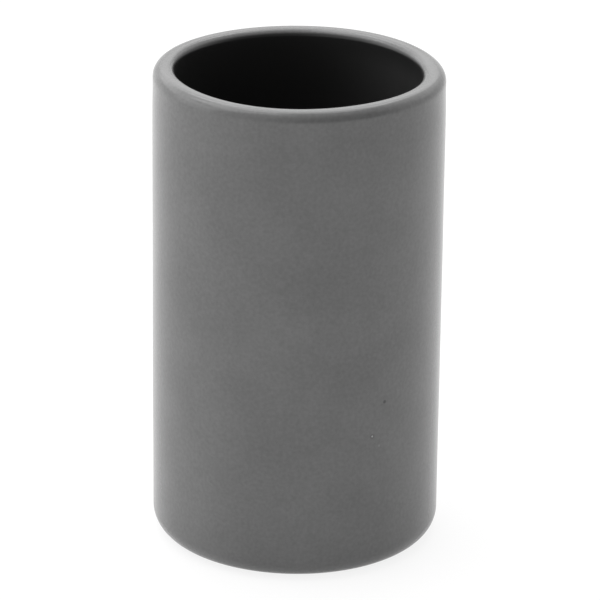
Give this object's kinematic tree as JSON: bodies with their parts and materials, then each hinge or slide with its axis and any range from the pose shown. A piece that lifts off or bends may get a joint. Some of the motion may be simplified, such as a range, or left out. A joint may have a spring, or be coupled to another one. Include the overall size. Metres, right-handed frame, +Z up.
{
  "type": "bathroom tumbler",
  "caption": "Straight round tumbler for brushes or rinsing water, with a thick rounded rim, satin-matt grey outside, satin black inside and a dry foot ring.",
  "frame": {"origin": "centre of the foot ring's flat underside, on the surface that the tumbler stands on", "axes": "+Z up along the tumbler's axis of symmetry, out of its mouth"},
  "size_m": [0.065, 0.065, 0.11],
  "materials": {
    "fired_clay": "matte",
    "grey_glaze": "satin",
    "black_glaze": "satin"
  },
  "bodies": {
    "root": {"tumbler_body": "fired_clay", "outer_glaze": "grey_glaze", "inner_glaze": "black_glaze", "base_glaze": "grey_glaze"}
  },
  "joints": []
}
